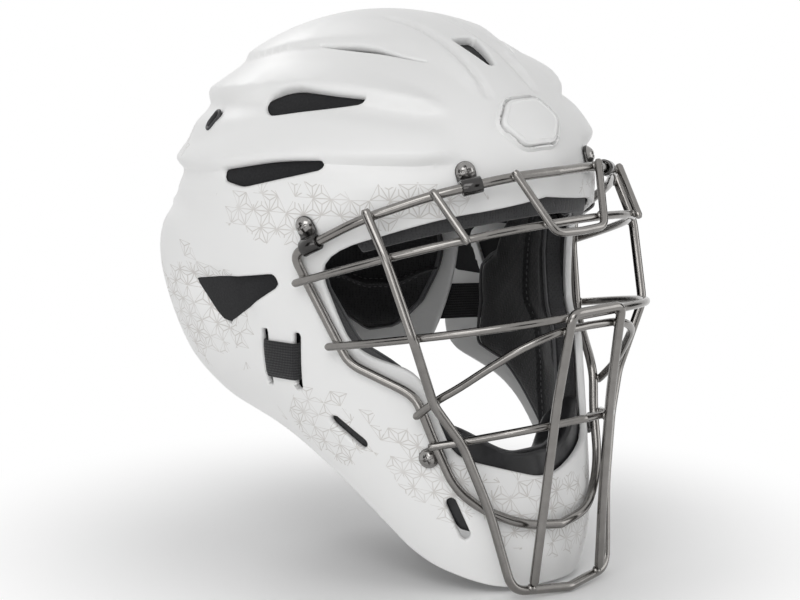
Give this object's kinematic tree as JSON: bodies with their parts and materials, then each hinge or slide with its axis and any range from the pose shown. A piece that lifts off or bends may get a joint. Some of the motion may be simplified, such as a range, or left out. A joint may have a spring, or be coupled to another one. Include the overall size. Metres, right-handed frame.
{
  "type": "softball catcher helmet",
  "caption": "Moulded, vented sports helmet with a welded wire face cage, foam pads, a chin cup and a hinged rear plate held by elastic bands.",
  "frame": {"origin": "the middle of the head cavity, in the plane of symmetry, 163 mm below the crown", "axes": "the face looks along -Y, +Z points to the crown, +X to the wearer's left"},
  "size_m": [0.2328, 0.2968, 0.3073],
  "materials": {
    "shell_plastic": "satin moulded",
    "plate_plastic": "satin",
    "foam_cover": "matte knit over foam",
    "chin_vinyl": "glossy soft vinyl",
    "cage_wire": "dark nickel",
    "clip_steel": "plated",
    "screw_steel": "plated",
    "elastic": "woven",
    "bracket_steel": "plated"
  },
  "bodies": {
    "main": {"front_shell": "shell_plastic", "brow_plate": "plate_plastic", "brow_pad": "foam_cover", "crown_pad": "foam_cover", "side_pads": "foam_cover", "jaw_pads": "foam_cover", "chin_cup": "chin_vinyl", "cage_rim": "cage_wire", "upper_eye_bar": "cage_wire", "lower_eye_bar": "cage_wire", "diagonal_bar": "cage_wire", "lower_bar": "cage_wire", "long_upright": "cage_wire", "mouth_frame": "cage_wire", "brow_loop": "cage_wire", "brow_struts": "cage_wire", "brow_clips": "clip_steel", "temple_clips": "clip_steel", "jaw_clips": "clip_steel", "cage_screws": "screw_steel", "cage_nuts": "screw_steel", "hinge_bracket": "bracket_steel", "hinge_pin": "screw_steel", "elastic_bands": "elastic"},
    "rear": {"rear_plate": "shell_plastic", "occipital_pad": "foam_cover", "nape_pad": "foam_cover", "band_buckles": "bracket_steel"}
  },
  "joints": [
    {"name": "rear_plate_hinge", "type": "hinge", "parent": "main", "child": "rear", "pos_m": [0, 0.1175, 0.062], "axis": [1, 0, 0], "range_deg": [0, 18], "stiffness_Nm_per_rad": 0.8, "springref_deg": -11.46, "deforming": ["elastic_bands"]}
  ]
}
